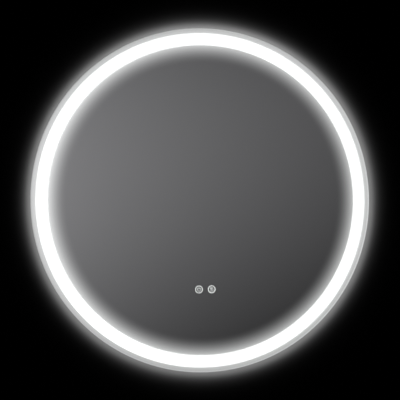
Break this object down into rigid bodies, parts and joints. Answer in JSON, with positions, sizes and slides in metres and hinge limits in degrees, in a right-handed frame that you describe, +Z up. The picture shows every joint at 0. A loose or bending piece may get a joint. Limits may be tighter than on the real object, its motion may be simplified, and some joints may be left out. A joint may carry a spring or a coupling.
{
  "type": "lighted bathroom mirror",
  "caption": "Round wall mirror with a sandblasted light band, a backlit halo, two touch keys, a demister film and a wall rail that it lifts off.",
  "frame": {"origin": "on the wall, at the middle of the wall rail's screw line, 180 mm above the middle of the glass", "axes": "+X to the right of someone who looks at the mirror, +Y into the wall, +Z up"},
  "size_m": [0.7999, 0.0382, 0.8],
  "materials": {
    "mirror_glass": "float glass, polished edge",
    "silvering": "silvered, with a grey backing paint",
    "bonding_tape": "foam tape",
    "frame_aluminium": "satin anodised",
    "rivet_aluminium": "bright",
    "opal_plastic": "opal, lit from inside",
    "led_strip": "white solder mask on aluminium",
    "led_phosphor": "phosphor",
    "back_sheet": "galvanised steel sheet",
    "rail_steel": "galvanised steel strip",
    "screw_steel": "nickel plated",
    "brass": "bright",
    "bumper_silicone": "milky silicone",
    "light_guide": "milky, lit from the board",
    "grommet_rubber": "moulded",
    "case_plastic": "white moulded plastic",
    "board_laminate": "green laminate",
    "component_black": "moulded",
    "heating_film": "polyester film with a printed heating track",
    "lead_sheath": "white sheath",
    "earth_sheath": "green and yellow sheath"
  },
  "bodies": {
    "wall_side": {"wall_rail": "rail_steel"},
    "mirror": {"mirror_glass": "mirror_glass", "silver_field": "silvering", "silver_rim": "silvering", "glass_bonding_tape": "bonding_tape", "light_frame": "frame_aluminium", "frame_splice_plate": "frame_aluminium", "splice_rivets": "rivet_aluminium", "front_diffuser": "opal_plastic", "front_led_boards": "led_strip", "front_light_lines": "led_phosphor", "rear_diffuser": "opal_plastic", "rear_led_boards": "led_strip", "rear_light_lines": "led_phosphor", "back_panel": "back_sheet", "back_panel_screws": "screw_steel", "panel_rivets": "rivet_aluminium", "hanging_rail": "rail_steel", "wall_pads": "bumper_silicone", "cable_grommet": "grommet_rubber", "driver_case": "case_plastic", "driver_lid": "case_plastic", "driver_board": "board_laminate", "driver_components": "component_black", "terminal_block": "case_plastic", "terminal_screws": "screw_steel", "earth_stud": "brass", "touch_case": "case_plastic", "touch_board": "board_laminate", "touch_board_parts": "component_black", "touch_light_guide": "light_guide", "demister_pad": "heating_film", "demister_tab": "component_black", "front_board_lead": "lead_sheath", "rear_board_lead": "lead_sheath", "mains_lead": "lead_sheath", "touch_lead": "lead_sheath", "demister_lead": "lead_sheath", "earth_lead": "earth_sheath", "lead_saddles": "case_plastic"}
  },
  "joints": [
    {"name": "mirror_lift", "type": "slide", "parent": "wall_side", "child": "mirror", "axis": [0, 0, 1], "range_m": [0, 0.022]}
  ]
}
